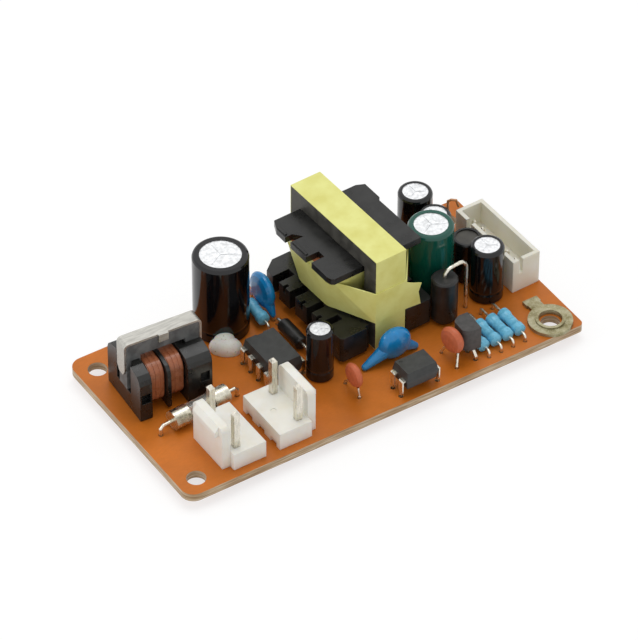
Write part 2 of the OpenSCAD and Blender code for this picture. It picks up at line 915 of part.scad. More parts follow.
// Leads: flat shoulder, wide drop, narrow pin
module dip_leads(size, n, z) {
  t = 0.25;
  x = dip_rows / 2;
  stop = 1.0;
  wide = 0.6;
  narrow = 0.25;
  for (s = [-1, 1], k = [0:n - 1])
    scale([s, 1, 1])
      translate([0, (k - (n - 1) / 2) * dip_pitch, 0]) {
        difference() {
          translate([0, wide, 0])
            rotate([90, 0, 0])
              linear_extrude(2 * wide)
                polygon([[size.x / 2, z - t / 2], [x - t * 0.8, z - t / 2], [x - t / 2, z - t],
                  [x - t / 2, foot_z], [x + t / 2, foot_z], [x + t / 2, z - t * 0.2],
                  [x - t * 0.3, z + t / 2], [size.x / 2, z + t / 2]]);
          for (m = [-1, 1])
            translate([x - 1, m * (narrow + 0.5) - 0.5, foot_z - 1])
              cube([2, 1, stop - foot_z + 1]);
        }
      }
}

module chip_body() {
  color("#2b2b2b")
    on_board()
      at(chip_at)
        difference() {
          dip_mould(chip_body_size, chip_z);
          translate([0, chip_body_size.y / 2, chip_z + chip_body_size.z / 2 - 0.3])
            cylinder(r = 0.8, h = 1);
        }
}

module chip_leads() {
  color("#c8c3b0")
    on_board()
      at(chip_at)
        dip_leads(chip_body_size, 4, chip_z);
}

module opto_body() {
  color("#2f3131")
    on_board()
      at(opto_at)
        difference() {
          dip_mould(opto_body_size, opto_z);
          translate([-opto_body_size.x / 2 + 1, opto_body_size.y / 2 - 1,
            opto_z + opto_body_size.z / 2 - 0.1])
            cylinder(r = 0.35, h = 1);
        }
}

module opto_leads() {
  color("#c8c3b0")
    on_board()
      at(opto_at)
        dip_leads(opto_body_size, 2, opto_z);
}

// ---------- axial and disc parts ----------

// Lacquered resistor lying along Y: two end bulbs and a slimmer waist
module resistor_body(l, d) {
  r = d / 2;
  b = r * 1.15;
  rotate([90, 0, 0])
    rotate_extrude($fn = 32)
      polygon([[0, -l / 2], [r * 0.55, -l / 2 + 0.05], [r * 0.95, -l / 2 + 0.35], [r, -l / 2 + b],
        [r * 0.84, -l / 2 + b * 1.5], [r * 0.84, l / 2 - b * 1.5], [r, l / 2 - b],
        [r * 0.95, l / 2 - 0.35], [r * 0.55, l / 2 - 0.05], [0, l / 2]]);
}

resistor_z = resistor_size[1] / 2 + 0.08;
resistor_mid = 4.35;
start_z = 1.75;
start_size = [5.8, 2.45];
diode_half = 3.2;
clamp_diode_z = 1.4;

module resistors() {
  color("#8fc3dd")
    on_board()
      for (k = [0:3])
        translate([resistor_at.x + k * resistor_pitch, resistor_at.y + resistor_mid, resistor_z])
          resistor_body(resistor_size[0], resistor_size[1]);
}

module start_resistor() {
  color("#3d93c4")
    on_board()
      at(start_at, start_turn)
        translate([0, 0, start_z])
          resistor_body(start_size[0], start_size[1]);
}

// Moulded diode lying along Y
module clamp_diode() {
  half = diode_half;
  color("#222325")
    on_board()
      translate([clamp_diode_at.x, clamp_diode_at.y, clamp_diode_z])
        rotate([90, 0, 0])
          rotate_extrude($fn = 32)
            polygon([[0, -half], [1.1, -half], [1.3, 0.3 - half], [1.3, half - 0.3], [1.1, half],
              [0, half]]);
}

// Ceramic disc standing in the YZ plane, resting its edge above the board
module disc_body(d, t, z) {
  r = d / 2;
  translate([0, 0, z])
    rotate([0, 90, 0])
      rotate_extrude($fn = 72)
        polygon([[0, -t / 2], [r * 0.55, -t * 0.46], [r * 0.85, -t * 0.33], [r * 0.97, -t * 0.14],
          [r, 0], [r * 0.97, t * 0.14], [r * 0.85, t * 0.33], [r * 0.55, t * 0.46], [0, t / 2]]);
}

clamp_disc_z = 4.5;
clamp_disc_d = 7;
small_disc_z = 4.0;
small_disc_d = 4.6;
feedback_z = 4.5;
feedback_d = 5.1;
feedback_turn = 10;

// The leads rise from the board and lean in to the disc's lower edge
module disc_lead_pair(p, turn, d, z, pts, r) {
  reach = d * 0.28;
  rim = z - sqrt(d * d / 4 - reach * reach) - 0.09;
  ends = placed(p, turn, [[0, -reach], [0, reach]]);
  kink = 0.35;
  for (i = [0, 1]) {
    translate([pts[i].x, pts[i].y, tip_z])
      cylinder(r = r, h = kink - tip_z, $fn = 24);
    translate([pts[i].x, pts[i].y, kink])
      sphere(r = r * 1.1, $fn = 24);
    wire([pts[i].x, pts[i].y, kink], [ends[i].x, ends[i].y, rim], r * 0.97);
  }
}

// Dipped disc whose coat runs down its legs as drops
module clamp_disc() {
  color("#1f6fb2")
    on_board()
      at(clamp_disc_at) {
        disc_body(clamp_disc_d, 2.4, clamp_disc_z);
        for (s = [-1, 1])
          hull() {
            translate([0, s * (clamp_reach - 0.1), 1.25])
              sphere(r = 0.5, $fn = 24);
            translate([0, s * 2.1, 3.0])
              sphere(r = 1.0, $fn = 24);
          }
      }
}

module small_disc() {
  color("#d0643c")
    on_board()
      at(small_disc_at)
        disc_body(small_disc_d, 1.7, small_disc_z);
}

module feedback_disc() {
  color("#c56a48")
    on_board()
      at(feedback_at, feedback_turn)
        disc_body(feedback_d, 2.2, feedback_z);
}

// Leads of the standing discs, the safety capacitor and the drum choke
module disc_leads() {
  color("#c2c0b4")
    on_board() {
      for (q = clamp_disc_pts)
        lead(q, 0.74, thin_r);
      disc_lead_pair(small_disc_at, 0, small_disc_d, small_disc_z, small_disc_pts, thin_r);
      disc_lead_pair(feedback_at, feedback_turn, feedback_d, feedback_z, feedback_pts, thin_r);
      for (q = safety_pts)
        lead(q, 0.5, thick_r);
      for (q = drum_pts)
        lead(q, 0.5);
    }
}

// Leads of the parts that lie along Y
module axial_leads() {
  color("#c2c0b4")
    on_board() {
      for (q = resistor_pts)
        lying_lead(q, resistor_at.y + resistor_mid, resistor_size[0] / 2, resistor_z, thin_r);
      at(start_at, start_turn)
        for (s = [-1, 1])
          lying_lead([0, s * start_reach], 0, start_size[0] / 2, start_z, thin_r);
      for (q = clamp_diode_pts)
        lying_lead(q, clamp_diode_at.y, diode_half, clamp_diode_z, lead_r);
    }
}

// Dipped safety capacitor: a fat disc whose coating runs down both legs
module safety_capacitor() {
  body_d = 6.4;
  body_t = 3.6;
  body_z = 3.4;
  color("#2ba3e6")
    on_board()
      difference() {
        union() {
          translate([safety_at.x + 0.9, safety_at.y, body_z])
            rotate([90, 0, 0])
              rotate_extrude($fn = 48)
                polygon([for (a = [-90:10:90]) [body_d / 2 * cos(a), body_t / 2 * sin(a)]]);
          for (s = [-1, 1])
            hull() {
              translate([safety_at.x + s * safety_reach, safety_at.y, 0.65])
                sphere(r = 0.62, $fn = 24);
              translate([safety_at.x + 0.9 + s * (s < 0 ? 1.9 : 1.6), safety_at.y, body_z - 0.9])
                sphere(r = 1.35, $fn = 24);
            }
        }
        for (q = safety_pts)
          translate([q.x, q.y, -1])
            cylinder(r = thick_r + seat_gap, h = 1.5 + seat_gap, $fn = 20);
      }
}

// ---------- regulator ----------

regulator_low = 2.2;
regulator_h = 4.6;

// Moulded three-lead body: flat face to +X, square flanks, round back
module regulator_body() {
  color("#333335")
    on_board()
      at(regulator_at, -3)
        translate([0, 0, regulator_low])
          linear_extrude(regulator_h)
            intersection() {
              union() {
                circle(r = 2.35);
                translate([0, -2.35])
                  square([1.3, 4.7]);
              }
              translate([-2.0, -3])
                square([3.3, 6]);
            }
}

module regulator_leads() {
  color("#c8c3b0")
    on_board()
      for (i = [0:2])
        let (q = regulator_pts[i], top = regulator_at.y + (i - 1) * 1.27)
          union() {
            translate([q.x - 0.25, q.y - 0.25, foot_z])
              cube([0.5, 0.5, 0.8 - foot_z]);
            hull() {
              translate([q.x - 0.25, q.y - 0.25, 0.7])
                cube([0.5, 0.5, 0.1]);
              translate([q.x - 0.25, top - 0.25, regulator_low - 0.2])
                cube([0.5, 0.5, 0.2]);
            }
          }
}

// ---------- output diode, drum choke, wire ----------

module output_diode() {
  r = diode_size[0] / 2;
  h = diode_size[1];
  color("#262628")
    on_board()
      translate([diode_at.x, diode_at.y, diode_size[2]])
        rotate_extrude()
          polygon([[0, 0], [r - 0.3, 0], [r, 0.4], [r, h - 0.35], [r - 0.3, h], [0, h]]);
}

// Lower lead straight down; the upper lead bends over to a level run and down to its foot
module diode_leads() {
  top = diode_size[2] + diode_size[1];
  run = diode_foot - diode_at;
  span = norm(run);
  first = 1.5;
  last = 1.9;
  r = thick_r;
  color("#cfccbe")
    on_board() {
      lead(diode_at, diode_size[2], thick_r);
      translate([diode_at.x, diode_at.y, 0])
        rotate(atan2(run.y, run.x)) {
          translate([first, 0, top])
            mirror([1, 0, 0])
              quarter_bend(first, r);
          translate([first, 0, top + first])
            rotate([0, 90, 0])
              cylinder(r = r, h = span - first - last, $fn = 24);
          translate([span - last, 0, top + first - last])
            quarter_bend(last, r);
          translate([span, 0, tip_z])
            cylinder(r = r, h = top + first - last - tip_z, $fn = 24);
        }
    }
}

// Wire bend in the XZ plane, from upright at +X to level on top
module quarter_bend(bend, r) {
  rotate([90, 0, 0])
    rotate_extrude(angle = 90, $fn = 24)
      translate([bend, 0])
        circle(r = r, $fn = 24);
}

module drum_core() {
  d = drum_size[0] - 2 * sleeve_t - 0.02;
  color("#4a4a4c")
    on_board()
      translate([drum_at.x, drum_at.y, 0.5])
        difference() {
          cylinder(d = d, h = drum_size[1] - 0.8);
          translate([0, 0, 1.2])
            difference() {
              cylinder(d = d + 1, h = drum_size[1] - 3.2);
              translate([0, 0, -1])
                cylinder(d = d - 1, h = drum_size[1]);
            }
        }
}

module drum_sleeve() {
  r = drum_size[0] / 2;
  in_r = r - sleeve_t;
  h = drum_size[1];
  color("#1b1b1d")
    on_board()
      at(drum_at)
        rotate_extrude()
          polygon([[in_r, 0.3], [r, 0.3], [r, h - 0.25], [r - 0.2, h], [r - 0.6, h],
            [r - 0.6, h - 0.2], [in_r, h - 0.2]]);
}

// Enamelled wire end that stands up beside the output header and hooks over
module wire_hook() {
  h = hook_size[0];
  d = hook_size[1];
  color("#c07a4a")
    on_board()
      translate([hook_at.x, hook_at.y, 0.02])
        wire_path([[0, 0, 0], [0, 0, h - 0.6], [0.25 * d, -0.45 * d, h], [0.75 * d, -0.9 * d, h],
          [d, -1.15 * d, h - 1.4]], 0.22);
}

// ---------- transformer ----------

core_z = 0.14;
core_top = core_z + trafo_core.z;
tape_t = 0.12;
belt_t = 0.15;
window_y = trafo_core.y / 2 - trafo_legs[1];
flange_t = 1.3;
coil_top = core_top - trafo_yoke - flange_t - 0.05;
coil_low = trafo_rail_z + 0.05;
tube_w = trafo_legs[0] + 1.8;
coil_corner = 3.2;

module at_trafo() {
  on_board()
    at(trafo_at, trafo_turn)
      children();
}

// E half: yoke with three legs, in the YZ plane
module e_core(up) {
  half = trafo_core.z / 2;
  l = trafo_core.y;
  translate([-trafo_core.x / 2, 0, core_z + half])
    rotate([90, 0, 90])
      linear_extrude(trafo_core.x)
        scale([1, up])
          difference() {
            translate([-l / 2, 0.01])
              square([l, half - 0.01]);
            for (s = [-1, 1])
              translate([s * (trafo_legs[0] / 2 + window_y) / 2
                - (window_y - trafo_legs[0] / 2) / 2, -1])
                square([window_y - trafo_legs[0] / 2, half + 1 - trafo_yoke]);
          }
}

module core_upper() {
  color("#4b4a4a")
    at_trafo()
      e_core(1);
}

module core_lower() {
  color("#4b4a4a")
    at_trafo()
      e_core(-1);
}

// Pin rail: an inner bar, a comb of posts over the pins with a notch for the wire, and a solid
// block at the front
module pin_rail(side, outer, inner, front) {
  bar = 7;
  low = 0.7;
  back = 11.8;
  posts = [[2.9, 6.1], [-2.3, 1.2], [-6.8, -3.8]];
  notch = [0.9, 0.7, 1.4];
  scale([side, 1, 1])
    difference() {
      union() {
        translate([4.1, front + 0.6, low])
          cube([bar - 4.1, back - front - 0.6, trafo_rail_z - low]);
        for (p = posts)
          translate([bar - 0.1, p[0], 2])
            cube([outer - bar + 0.1, p[1] - p[0], trafo_rail_z - 2]);
        translate([0, 0, 2])
          linear_extrude(trafo_rail_z - 2)
            polygon([[bar - 0.1, 8], [outer, 8], [outer, 9.9], [max(bar, outer - 2.5), back],
              [bar - 0.1, back]]);
        translate([0, 0, low])
          linear_extrude(trafo_rail_z - low)
            polygon([[inner, front], [outer - 0.5, front], [outer, front + 0.5], [outer, -8.3],
              [inner, -8.3]]);
      }
      for (y = [4.46, -0.74, -5.45])
        translate([outer - notch.x, y - notch.y / 2, trafo_rail_z - notch.z])
          cube([2, notch.y, 2]);
    }
}

// Top flange: one plate, cut off at the corners, with notches for the wires on the left edge
module top_flange() {
  difference() {
    polygon([[0, -8.9], [-9.2, -8.9], [-9.74, -8.5], [-10.0, -7.6], [-9.95, -3.0], [-7.2, -3.0],
      [-7.2, -1.3], [-9.9, -1.3], [-9.85, 3.5], [-7.0, 3.5], [-8.3, 5.1], [-9.8, 5.1],
      [-9.74, 7.9], [-8.8, 9.9], [0, 9.9], [0, 9.5], [8.5, 9.44], [10.05, 8.7], [10.0, 4.3],
      [9.5, 3.8], [9.5, -8.6], [0, -8.6]]);
    for (s = [-1, 1])
      translate([-trafo_core.x / 2 - 0.1, s > 0 ? window_y - 0.1 : -window_y - 4])
        square([trafo_core.x + 0.2, 4.1]);
  }
}

module transformer_bobbin() {
  leg = trafo_legs[0] / 2 + 0.1;
  color("#232322")
    at_trafo()
      difference() {
        union() {
          translate([0, 0, coil_top + 0.02])
            linear_extrude(flange_t)
              top_flange();
          // low lip along the flange's left edge
          translate([-9.7, -0.9, coil_top + flange_t])
            cube([0.5, 4.0, 0.25]);
          translate([-9.6, 5.5, coil_top + flange_t])
            cube([0.5, 2.3, 0.25]);
          translate([-tube_w / 2, -tube_w / 2, core_z + trafo_yoke + 0.1])
            cube([tube_w, tube_w, coil_top - core_z - trafo_yoke]);
          translate([-7, -window_y + 0.1, core_z + trafo_yoke + 0.1])
            cube([14, 2 * window_y - 0.2, coil_low - core_z - trafo_yoke - 0.15]);
          pin_rail(-1, 10.45, 4.97, -12.7);
          pin_rail(1, 9.1, 3.4, -12.85);
        }
        translate([-leg, -leg, 0])
          cube([2 * leg, 2 * leg, 30]);
        for (s = [-1, 1], k = [-2:2])
          translate([s * trafo_row, k * trafo_pin_pitch, -1])
            cylinder(r = thick_r + seat_gap, h = 5.0, $fn = 20);
      }
}

module transformer_pins() {
  color("#c2c0b4")
    on_board()
      for (q = trafo_pts)
        translate([q.x, q.y, foot_z])
          cylinder(r = thick_r, h = 3.9 - foot_z, $fn = 20);
}

module transformer_winding() {
  color("#a65a34")
    at_trafo()
      difference() {
        coil_body(coil_low + 0.02, coil_top - 0.02, -tape_t - 0.02);
        translate([0, 0, coil_low - 1])
          linear_extrude(coil_top - coil_low + 2)
            square(tube_w + 2 * seat_gap, center = true);
      }
}

// Yellow tape on the winding
module winding_tape() {
  color("#d8cf5e")
    at_trafo()
      difference() {
        coil_body(coil_low + 0.02, coil_top - 0.02, 0);
        coil_body(coil_low - 0.1, coil_top + 0.1, -tape_t);
      }
}

// The coil widens from the rails up to the flange; half widths at a height
function coil_half(z) = trafo_coil_low
  + (trafo_coil - trafo_coil_low) * (z - coil_low) / (coil_top - coil_low);

// Level slice of the coil, taken in or let out
module coil_slice(z, grow) {
  half = coil_half(z);
  translate([0, 0, z - 0.01])
    linear_extrude(0.02)
      round_rect(2 * (half.x + grow), 2 * (half.y + grow), coil_corner + grow);
}

module coil_body(low, high, grow) {
  hull() {
    coil_slice(low, grow);
    coil_slice(high, grow);
  }
}

// Body that a belt wraps: the coil and the core's outer legs, with the upper edge rising from
// the legs to the coil
module belt_body(low, legs_high, high, grow) {
  reach = 2 * (trafo_core.y / 2 + tape_t + 0.03 + grow);
  across = trafo_core.x + 0.04 + 2 * grow;
  hull() {
    coil_slice(low, grow + 0.03);
    coil_slice(high, grow + 0.03);
    translate([-across / 2, -reach / 2, low - 0.01])
      cube([across, reach, legs_high - low]);
  }
}

// Belt of tape with a loose tail at the front right
module belt_tape() {
  low = 6.45;
  legs_high = 13.1;
  high = 14.0;
  front = trafo_core.y / 2 + tape_t + 0.03;
  color("#e6de78")
    at_trafo() {
      difference() {
        belt_body(low, legs_high, high, belt_t);
        belt_body(low - 0.1, legs_high + 0.2, high + 0.1, 0);
      }
      translate([0, -front, 0])
        rotate([90, 0, 0])
          linear_extrude(belt_t)
            polygon([[3.0, low + 0.1], [6.45, low - 0.3], [5.95, 9.12], [6.56, 10.91],
              [4.81, 11.69], [3.0, 12.8]]);
    }
}

// Tape pulled round the whole core, covering its top, ends and foot
module core_tape() {
  l = trafo_core.y + 2 * seat_gap;
  h = trafo_core.z + 2 * seat_gap;
  color("#efe98f")
    at_trafo()
      translate([-trafo_core.x / 2, 0, 0])
        rotate([90, 0, 90])
          linear_extrude(trafo_core.x)
            difference() {
              translate([-l / 2 - tape_t, core_z - seat_gap - tape_t])
                square([l + 2 * tape_t, h + 2 * tape_t]);
              translate([-l / 2, core_z - seat_gap])
                square([l, h]);
            }
}

// ---------- output header ----------

module output_header() {
  w = output_wall;
  floor_t = 2.4;
  color("#ece7d6")
    on_board()
      at(output_at, output_turn)
        difference() {
          cube(output_box);
          translate([w, w, floor_t])
            cube([output_box.x - 2 * w, output_box.y - 2 * w, output_box.z]);
          // polarising slots in the inner side wall
          for (y = [3.2, output_box.y - 3.2 - 1.5])
            translate([-1, y, floor_t + 0.6])
              cube([w + 2, 1.5, output_box.z]);
          // groove in the front wall
          translate([1.3, -1, floor_t + 1.5])
            cube([0.8, w + 2, output_box.z]);
          for (k = [0:output_count - 1])
            translate([out_pin_at.x, out_pin_at.y + k * output_pitch, 1])
              cube([out_pin_w + 2 * seat_gap, out_pin_w + 2 * seat_gap, 5], center = true);
        }
}

module output_pins() {
  color("#c8c3b0")
    on_board()
      at(output_at, output_turn)
        for (k = [0:output_count - 1])
          translate([out_pin_at.x, out_pin_at.y + k * output_pitch, 0])
            square_pin(out_pin_w, foot_z, output_box.z - 1.7);
}

board();
solder_joints();
earth_lug();
header_1();
header_1_pins();
header_2();
header_2_pins();
fuse_tube();
fuse_caps();
fuse_leads();
choke_core_left();
choke_core_right();
choke_bobbin();
choke_winding_1();
choke_winding_2();
choke_clip();
choke_pins();
bulk_can();
bulk_sleeve();
bulk_seal();
glue();
chip_body();
chip_leads();
start_resistor();
clamp_disc();
clamp_diode();
small_cans();
supply_sleeve();
green_sleeve();
front_sleeve();
middle_sleeve();
rear_sleeve();
small_can_seals();
core_upper();
core_lower();
transformer_bobbin();
transformer_winding();
winding_tape();
belt_tape();
core_tape();
transformer_pins();
safety_capacitor();
small_disc();
opto_body();
opto_leads();
output_diode();
diode_leads();
feedback_disc();
regulator_body();
regulator_leads();
resistors();
disc_leads();
axial_leads();
can_leads();
drum_core();
drum_sleeve();
wire_hook();
output_header();
output_pins();
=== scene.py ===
# %% [markdown]
# # An open frame power supply
#
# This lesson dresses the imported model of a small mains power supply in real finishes. The solid
# parts come from the frame, where each one already has its right size and place. What is left
# is the surface of each one: lacquered board, tin and solder, shrunk film, tape, glue, glass
# and copper. All lengths are metres in the model's own frame, and a millimetre is `mm`.

import math

import bpy
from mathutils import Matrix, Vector

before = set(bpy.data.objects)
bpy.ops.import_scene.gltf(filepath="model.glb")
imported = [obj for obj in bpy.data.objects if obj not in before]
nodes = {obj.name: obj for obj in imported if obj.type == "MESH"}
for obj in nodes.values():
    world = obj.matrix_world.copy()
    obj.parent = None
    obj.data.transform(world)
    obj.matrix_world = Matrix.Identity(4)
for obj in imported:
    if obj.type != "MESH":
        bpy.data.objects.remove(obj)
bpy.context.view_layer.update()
mm = 0.001
print("nodes in the frame:", len(nodes))

# %% [markdown]
# ## Camera
#
# A catalogue shows such a board from a corner, a little above. A short lens close by would make
# the near corner swell, so a long lens stands far away and keeps the edges nearly parallel.
# Depth of field stays off, so that every part is sharp.

# %% Camera
camera_place = Vector((-0.35007, -0.53479, 0.58142))
camera_turn = (48.157, -0.175, -32.916)  # degrees
lens_length, sensor_width = 276.24, 36.0  # mm, as on a real camera
nearest, farthest = 0.01, 20.0

camera_data = bpy.data.cameras.new("catalogue_lens")
camera_data.lens = lens_length
camera_data.sensor_width = sensor_width
camera_data.clip_start = nearest
camera_data.clip_end = farthest
camera = bpy.data.objects.new("catalogue_camera", camera_data)
camera.location = camera_place
camera.rotation_euler = [math.radians(angle) for angle in camera_turn]
bpy.context.scene.collection.objects.link(camera)
bpy.context.scene.camera = camera
print("camera distance", round(camera_place.length, 3), "m")

# %% [markdown]
# ## World
#
# A product like this is lit in a white tent, so light comes from nearly everywhere and shadows
# are faint. A ring of lamps could do that, but one evenly bright world is simpler and softer.
# It lights the board at a plain level, and shows pure white only to rays that see it directly,
# off metal or through glass.

# %% World
scene = bpy.context.scene
scene.view_settings.view_transform = "Standard"
tent_level, tent_shown = 0.62, 1.0
white = (1.0, 1.0, 1.0, 1.0)


def node_in(tree, kind, **sockets):
    """Add a node and set its sockets by name."""
    made = tree.nodes.new(kind)
    for key, value in sockets.items():
        made.inputs[key.replace("_", " ")].default_value = value
    return made


def seen_directly(tree):
    """1 for rays that show the backdrop: from the eye, off metal and through glass."""
    path = tree.nodes.new("ShaderNodeLightPath")
    seen = path.outputs["Is Camera Ray"]
    for ray in ("Is Glossy Ray", "Is Transmission Ray"):
        either = tree.nodes.new("ShaderNodeMath")
        either.operation = "MAXIMUM"
        tree.links.new(seen, either.inputs[0])
        tree.links.new(path.outputs[ray], either.inputs[1])
        seen = either.outputs[0]
    return seen


world = bpy.data.worlds.new("white_tent")
scene.world = world
world.use_nodes = True
tree = world.node_tree
background = tree.nodes["Background"]
background.inputs["Color"].default_value = white
level = node_in(tree, "ShaderNodeMapRange", To_Min=tent_level, To_Max=tent_shown)
tree.links.new(seen_directly(tree), level.inputs["Value"])
tree.links.new(level.outputs["Result"], background.inputs["Strength"])
print("tent level", tent_level)

# %% [markdown]
# ## Lamps
#
# Light from everywhere alone looks flat. Two large soft boxes give each part a brighter side,
# one overhead and a weaker one on the left. Area lamps are used because their size sets how
# soft the shadows are. Tent and lamps together show a colour about as it is written.

# %% Lamps


def soft_lamp(name, place, size, watts):
    """A square soft box that points at the board."""
    data = bpy.data.lights.new(name, "AREA")
    data.size = size
    data.energy = watts
    lamp = bpy.data.objects.new(name, data)
    lamp.location = place
    lamp.rotation_euler = (-Vector(place)).to_track_quat("-Z", "Y").to_euler()
    scene.collection.objects.link(lamp)


soft_lamp("overhead_box", place=(0.10, 0.15, 0.90), size=0.55, watts=2.6)
soft_lamp("left_box", place=(-0.75, 0.25, 0.45), size=0.35, watts=0.9)

# %% [markdown]
# ## Floor
#
# The board stands on white paper. A plain white surface would still turn grey where less light
# falls, so rays that show the paper see a darker paper with a glow added, which comes out
# white and still takes a soft shadow. All other rays meet a plain matt paper.

# %% Floor
floor_half = 3.0  # metres from the middle to each edge
paper_grey, shown_grey, shown_glow = 0.85, 0.34, 0.70

floor_mesh = bpy.data.meshes.new("table")
corners = [(x * floor_half, y * floor_half, 0) for x, y in ((-1, -1), (1, -1), (1, 1), (-1, 1))]
floor_mesh.from_pydata(corners, [], [(0, 1, 2, 3)])
floor = bpy.data.objects.new("table", floor_mesh)
scene.collection.objects.link(floor)

paper = bpy.data.materials.new("white_paper")
paper.use_nodes = True
tree = paper.node_tree
tree.nodes.clear()
matt = node_in(tree, "ShaderNodeBsdfDiffuse", Color=(paper_grey, paper_grey, paper_grey, 1))
pale = node_in(tree, "ShaderNodeBsdfDiffuse", Color=(shown_grey, shown_grey, shown_grey, 1))
glow = node_in(tree, "ShaderNodeEmission", Color=white, Strength=shown_glow)
lifted = tree.nodes.new("ShaderNodeAddShader")
shown = tree.nodes.new("ShaderNodeMixShader")
output = tree.nodes.new("ShaderNodeOutputMaterial")
tree.links.new(pale.outputs[0], lifted.inputs[0])
tree.links.new(glow.outputs[0], lifted.inputs[1])
tree.links.new(seen_directly(tree), shown.inputs[0])
tree.links.new(matt.outputs[0], shown.inputs[1])
tree.links.new(lifted.outputs[0], shown.inputs[2])
tree.links.new(shown.outputs[0], output.inputs["Surface"])
floor_mesh.materials.append(paper)
print("floor", 2 * floor_half, "m wide at z = 0")

# %% [markdown]
# ## A bench for materials
#
# Each finish starts from one Principled shader. `Finish` sets the plain numbers on the shader's
# own sockets, and its helpers add what makes a surface look real: a colour that drifts, a gloss
# that varies, and a fine bump. Textures use object coordinates, so their scale is in real
# millimetres and nothing has to be unwrapped. Noise seldom nears 0 or 1, so the two bands
# below say which part of it is spread over the whole change.

# %% Material helpers
narrow_band, wide_band = (0.35, 0.65), (0.3, 0.7)
noise_roughness = 0.55
bevel_samples = 4
mix_inputs, mix_output = (0, 6, 7), 2  # the Mix node's amount and its two colours


class Finish:
    """A material under construction, with small helpers that add detail to its shader."""

    def __init__(self, name, colour, rough, metal=0.0, **extra):
        self.material = bpy.data.materials.new(name)
        self.material.use_nodes = True
        self.tree = self.material.node_tree
        self.shader = self.tree.nodes["Principled BSDF"]
        self.set("Base Color", (*colour, 1.0))
        self.set("Roughness", rough)
        self.set("Metallic", metal)
        for key, value in extra.items():
            self.set(key.replace("_", " "), value)
        self.coords = self.tree.nodes.new("ShaderNodeTexCoord").outputs["Object"]
        self.surface = None

    def set(self, socket, value):
        self.shader.inputs[socket].default_value = value

    def link(self, source, target):
        self.tree.links.new(source, target)

    def noise(self, size, detail=3.0, stretch=(1, 1, 1)):
        """Noise whose blobs are about size mm across. stretch squeezes it along an axis."""
        mapping = node_in(self.tree, "ShaderNodeMapping", Scale=stretch)
        self.link(self.coords, mapping.inputs["Vector"])
        made = node_in(self.tree, "ShaderNodeTexNoise", Scale=1.0 / (size * mm), Detail=detail,
                       Roughness=noise_roughness)
        self.link(mapping.outputs[0], made.inputs["Vector"])
        return made.outputs["Fac"]

    def ramp(self, source, stops):
        """A colour ramp: stops are (place, colour)."""
        made = self.tree.nodes.new("ShaderNodeValToRGB")
        elements = made.color_ramp.elements
        while len(elements) < len(stops):
            elements.new(0.5)
        for element, (place, colour) in zip(elements, stops):
            element.position = place
            element.color = (*colour, 1.0)
        self.link(source, made.inputs["Fac"])
        return made.outputs["Color"]

    def value(self, source, low, high, band):
        """Turn a source that goes through a band into a number from low to high."""
        made = node_in(self.tree, "ShaderNodeMapRange", From_Min=band[0], From_Max=band[1],
                       To_Min=low, To_Max=high)
        self.link(source, made.inputs["Value"])
        return made.outputs["Result"]

    def mix(self, amount, under, over):
        """Lay a colour over another one, each a tuple or a socket."""
        made = self.tree.nodes.new("ShaderNodeMix")
        made.data_type = "RGBA"
        for place, item in zip(mix_inputs, (amount, under, over)):
            if isinstance(item, tuple):
                made.inputs[place].default_value = (*item, 1.0)
            else:
                self.link(item, made.inputs[place])
        return made.outputs[mix_output]

    def lies_flat(self):
        """1 where the surface faces up or down, and 0 where it stands upright."""
        geometry = self.tree.nodes.new("ShaderNodeNewGeometry")
        parts = self.tree.nodes.new("ShaderNodeSeparateXYZ")
        self.link(geometry.outputs["True Normal"], parts.inputs[0])
        upward = self.tree.nodes.new("ShaderNodeMath")
        upward.operation = "ABSOLUTE"
        self.link(parts.outputs["Z"], upward.inputs[0])
        flat = self.tree.nodes.new("ShaderNodeMath")
        flat.operation = "GREATER_THAN"
        flat.inputs[1].default_value = 0.5
        self.link(upward.outputs[0], flat.inputs[0])
        return flat.outputs[0]

    def colour(self, source):
        self.link(source, self.shader.inputs["Base Color"])

    def two_tone(self, source, dark, light, band=narrow_band):
        """Let the colour drift between two tones."""
        self.colour(self.ramp(source, [(band[0], dark), (band[1], light)]))

    def gloss(self, source, low, high):
        """Let the roughness drift from low to high."""
        self.link(self.value(source, low, high, wide_band), self.shader.inputs["Roughness"])

    def bump(self, source, depth, strength=0.5):
        """Raise the surface by up to depth mm where the source is bright."""
        made = node_in(self.tree, "ShaderNodeBump", Strength=strength, Distance=depth * mm)
        self.link(source, made.inputs["Height"])
        if self.surface is not None:
            self.link(self.surface, made.inputs["Normal"])
        self.surface = made.outputs["Normal"]
        self.link(self.surface, self.shader.inputs["Normal"])

    def soft_edges(self, radius):
        """Round the edges in the light by a radius in mm."""
        made = node_in(self.tree, "ShaderNodeBevel", Radius=radius * mm)
        made.samples = bevel_samples
        self.surface = made.outputs["Normal"]
        self.link(self.surface, self.shader.inputs["Normal"])


def shades(colour, *factors):
    """Darker and lighter versions of a colour."""
    return [tuple(min(1.0, c * f) for c in colour) for f in factors]


dressed = set()


def dress(finish, *names):
    """Give a finish to CAD nodes by their names."""
    for name in names:
        slots = nodes[name].data.materials
        for i in range(len(slots)):
            slots[i] = finish.material
        dressed.add(name)


print("bench ready")

# %% [markdown]
# ## The board
#
# The board is phenolic paper with copper on its lower side only. Its top carries a thin orange
# lacquer over brown paper, so it looks a little uneven, like strong tea. Its sawn edges show
# the pale layers of the paper. Two materials could share the board's faces, but one does it
# all here: it asks which way the surface faces, and paints the lacquer on the flat faces and
# the layers on the rest.

